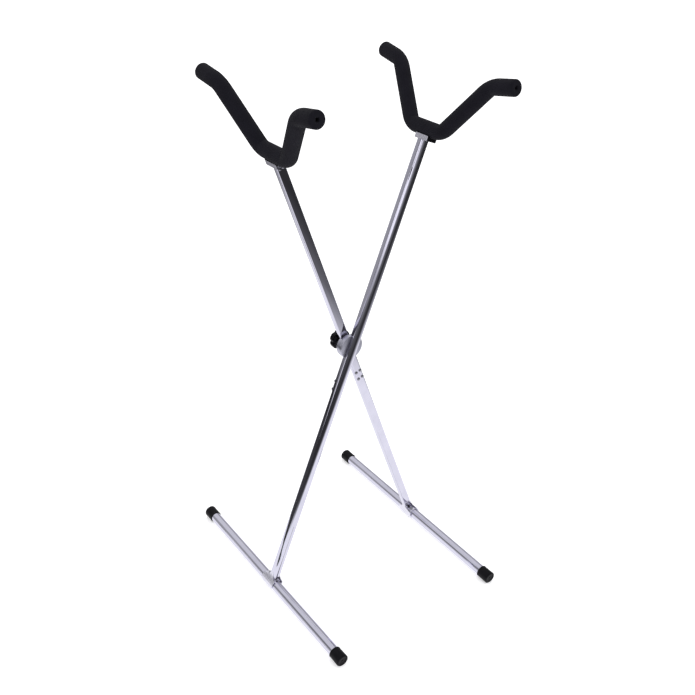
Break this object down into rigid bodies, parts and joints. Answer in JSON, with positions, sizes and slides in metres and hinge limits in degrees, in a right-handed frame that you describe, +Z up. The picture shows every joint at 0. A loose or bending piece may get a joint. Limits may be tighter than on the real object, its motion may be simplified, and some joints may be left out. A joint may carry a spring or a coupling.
{
  "type": "saxophone stand",
  "caption": "Folding X-frame stand with foam-sleeved yokes on chromed legs, bar feet with rubber caps and a clamped centre hub.",
  "frame": {"origin": "on the floor, under the middle of the hub, with the stand opened as in use", "axes": "+Z up; Y along the hub's pivot and along both foot bars, -Y on the side of leg A; X across the spread of the legs, +X towards leg A's yoke"},
  "size_m": [0.3018, 0.3876, 0.7639],
  "materials": {
    "chrome_tube": "bright chromed steel tube",
    "chrome_pressing": "bright chromed pressed sheet steel",
    "zinc_pressing": "satin plated pressed sheet steel",
    "zinc_fasteners": "bright zinc plate",
    "yoke_wire": "plain drawn steel, hidden in the foam",
    "foam": "smooth-skinned closed-cell black foam, matte",
    "rubber": "moulded black rubber, low sheen",
    "knob_plastic": "moulded black plastic, semi-gloss",
    "brass": "turned brass",
    "friction_fibre": "pressed fibre, matte"
  },
  "bodies": {
    "leg_a": {"leg_a_tube": "chrome_tube", "foot_a_tube": "chrome_tube", "foot_a_saddle": "chrome_pressing", "yoke_a_bracket": "chrome_pressing", "hub_rivet_a_1": "zinc_fasteners", "hub_rivet_a_2": "zinc_fasteners", "hub_rivet_a_3": "zinc_fasteners", "hub_rivet_a_4": "zinc_fasteners", "yoke_a_rivet_1": "zinc_fasteners", "yoke_a_rivet_2": "zinc_fasteners", "yoke_a_rod": "yoke_wire", "yoke_a_foam": "foam", "foot_a_rivet": "zinc_fasteners", "foot_a_cap_front": "rubber", "foot_a_cap_back": "rubber", "hub_drum": "zinc_pressing", "pivot_bolt": "zinc_fasteners", "friction_disc": "friction_fibre", "knob_washer": "zinc_fasteners"},
    "leg_b": {"leg_b_tube": "chrome_tube", "foot_b_tube": "chrome_tube", "foot_b_saddle": "chrome_pressing", "yoke_b_bracket": "chrome_pressing", "hub_rivet_b_1": "zinc_fasteners", "hub_rivet_b_2": "zinc_fasteners", "hub_rivet_b_3": "zinc_fasteners", "hub_rivet_b_4": "zinc_fasteners", "yoke_b_rivet_1": "zinc_fasteners", "yoke_b_rivet_2": "zinc_fasteners", "yoke_b_rod": "yoke_wire", "yoke_b_foam": "foam", "foot_b_rivet": "zinc_fasteners", "foot_b_cap_front": "rubber", "foot_b_cap_back": "rubber", "hub_disc": "zinc_pressing", "hub_stiffener": "zinc_pressing"},
    "knob": {"clamp_knob": "knob_plastic", "knob_insert": "brass"}
  },
  "joints": [
    {"name": "hub_fold", "type": "hinge", "parent": "leg_a", "child": "leg_b", "pos_m": [0, 0, 0.3809], "axis": [0, 1, 0], "range_deg": [0, 36.5]},
    {"name": "knob_spin", "type": "hinge", "parent": "leg_a", "child": "knob", "pos_m": [0, 0.0228, 0.3809], "axis": [0, 1, 0], "continuous": true}
  ]
}
